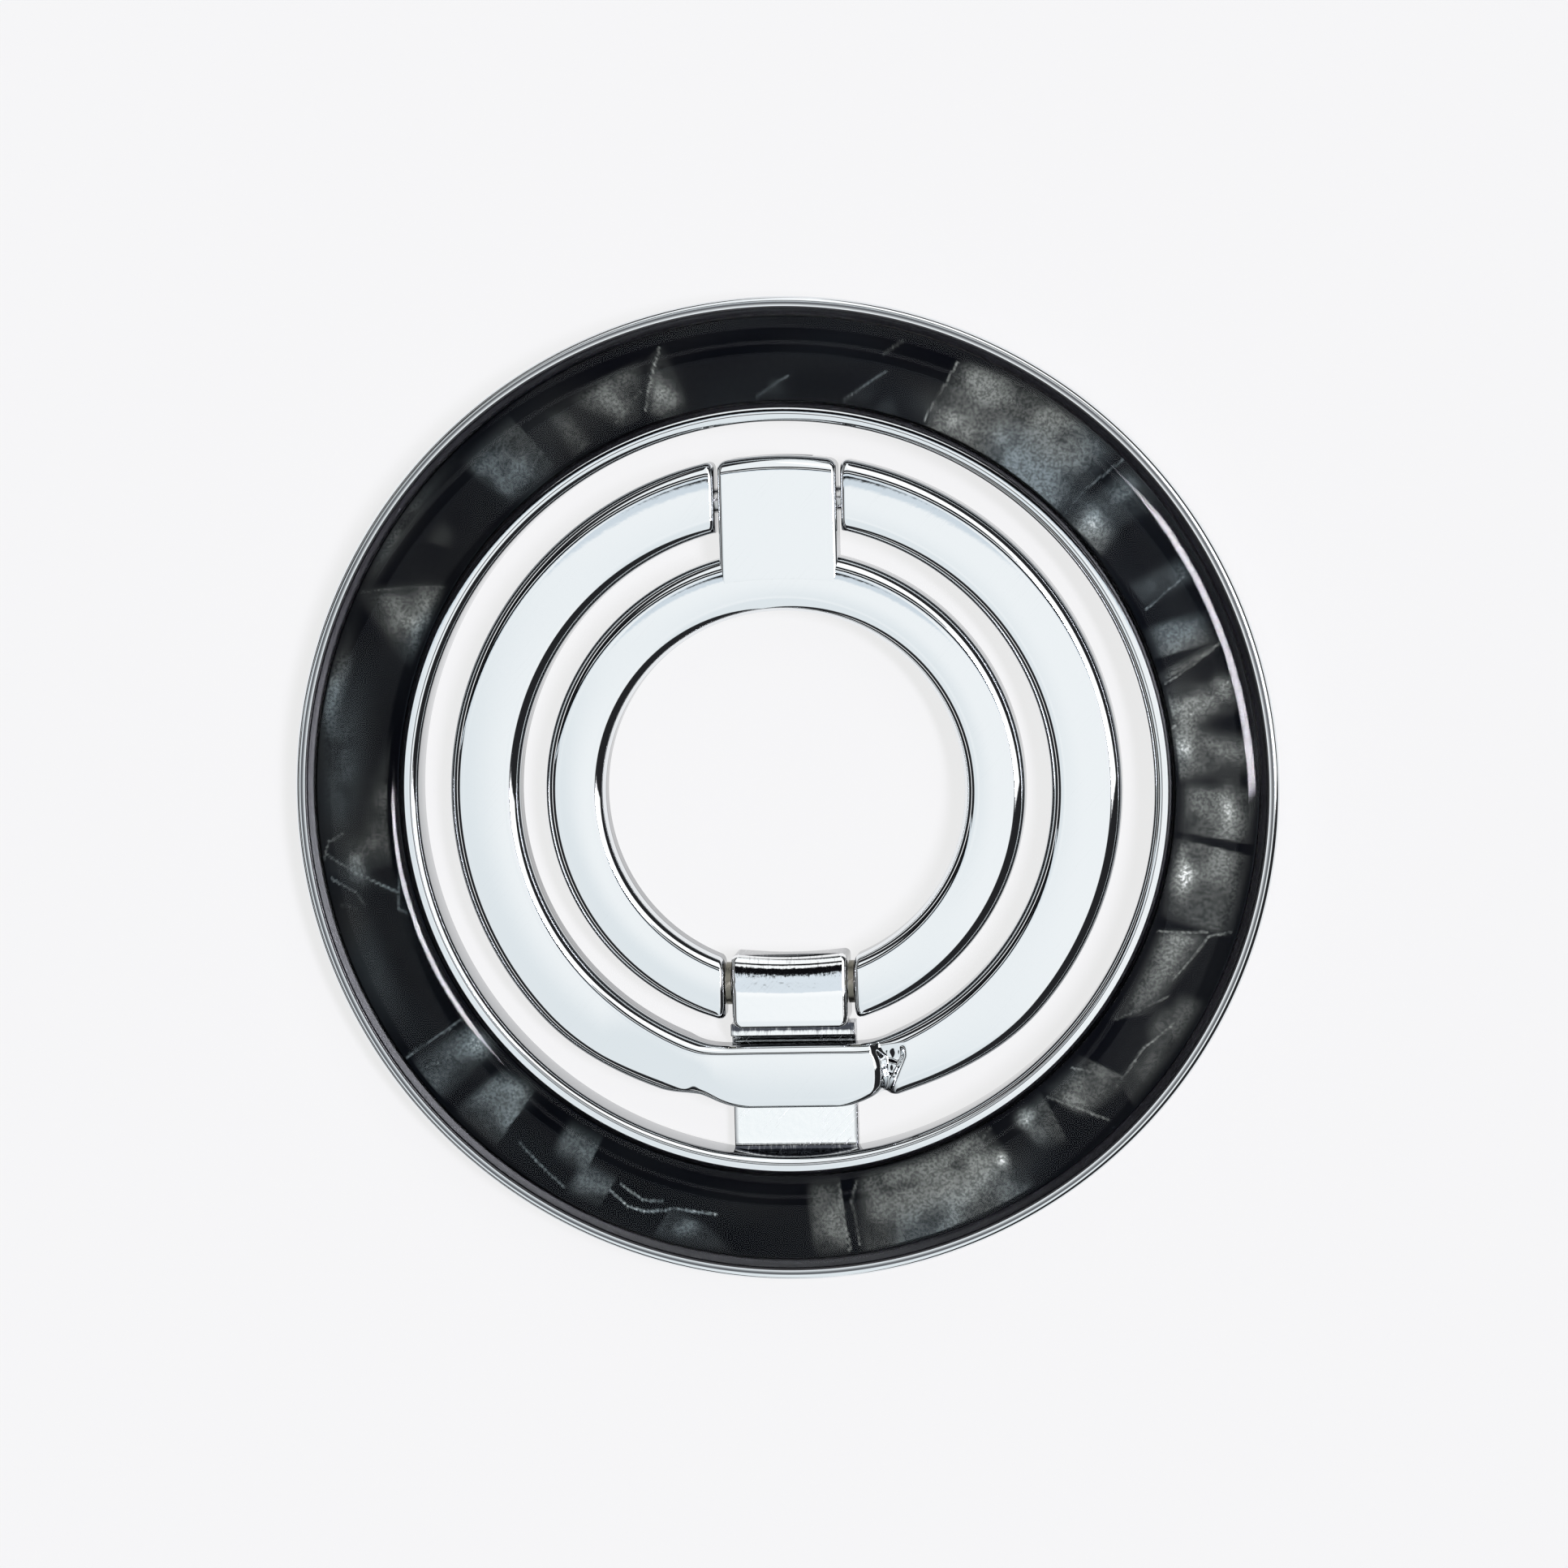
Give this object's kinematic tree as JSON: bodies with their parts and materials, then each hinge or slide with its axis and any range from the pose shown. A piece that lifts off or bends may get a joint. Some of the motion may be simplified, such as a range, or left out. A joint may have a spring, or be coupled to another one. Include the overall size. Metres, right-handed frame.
{
  "type": "phone ring holder",
  "caption": "Magnetic ring holder for a phone: a finger ring and a larger C-shaped ring fold up out of a chrome base ring with a dark pearl inlay under clear resin.",
  "frame": {"origin": "centre of the back face, on the surface the holder lies on", "axes": "+Z away from the phone, through the finger hole; +Y from the lower hinge to the tab of the upper hinge; +X along both hinge pins"},
  "size_m": [0.06, 0.06, 0.0044],
  "materials": {
    "chrome": "bright plated",
    "pearl": "pearl flakes",
    "resin": "clear gloss",
    "pad": "matte",
    "steel": "satin",
    "washer": "dull",
    "magnet": "nickel plated"
  },
  "bodies": {
    "base": {"base_frame": "chrome", "pearl_inlay": "pearl", "resin_dome": "resin", "back_pad": "pad", "shunt_ring": "steel", "magnet_01": "magnet", "magnet_02": "magnet", "magnet_03": "magnet", "magnet_04": "magnet", "magnet_05": "magnet", "magnet_06": "magnet", "magnet_07": "magnet", "magnet_08": "magnet", "magnet_09": "magnet", "magnet_10": "magnet", "magnet_11": "magnet", "magnet_12": "magnet", "magnet_13": "magnet", "magnet_14": "magnet", "magnet_15": "magnet", "magnet_16": "magnet", "magnet_17": "magnet", "magnet_18": "magnet", "bottom_pin": "steel", "washer_left": "washer", "washer_right": "washer"},
    "finger_ring": {"inner_ring": "chrome", "top_pin": "steel"},
    "foot_ring": {"middle_ring": "chrome"}
  },
  "joints": [
    {"name": "finger_ring_hinge", "type": "hinge", "parent": "base", "child": "finger_ring", "pos_m": [0, -0.01183, 0.0027], "axis": [1, 0, 0], "range_deg": [0, 155]},
    {"name": "foot_ring_hinge", "type": "hinge", "parent": "finger_ring", "child": "foot_ring", "pos_m": [0, 0.01768, 0.0027], "axis": [-1, 0, 0], "range_deg": [0, 155]}
  ],
  "couplings": [
    {"joint": "foot_ring_hinge", "follows": "finger_ring_hinge", "ratio": 1}
  ]
}
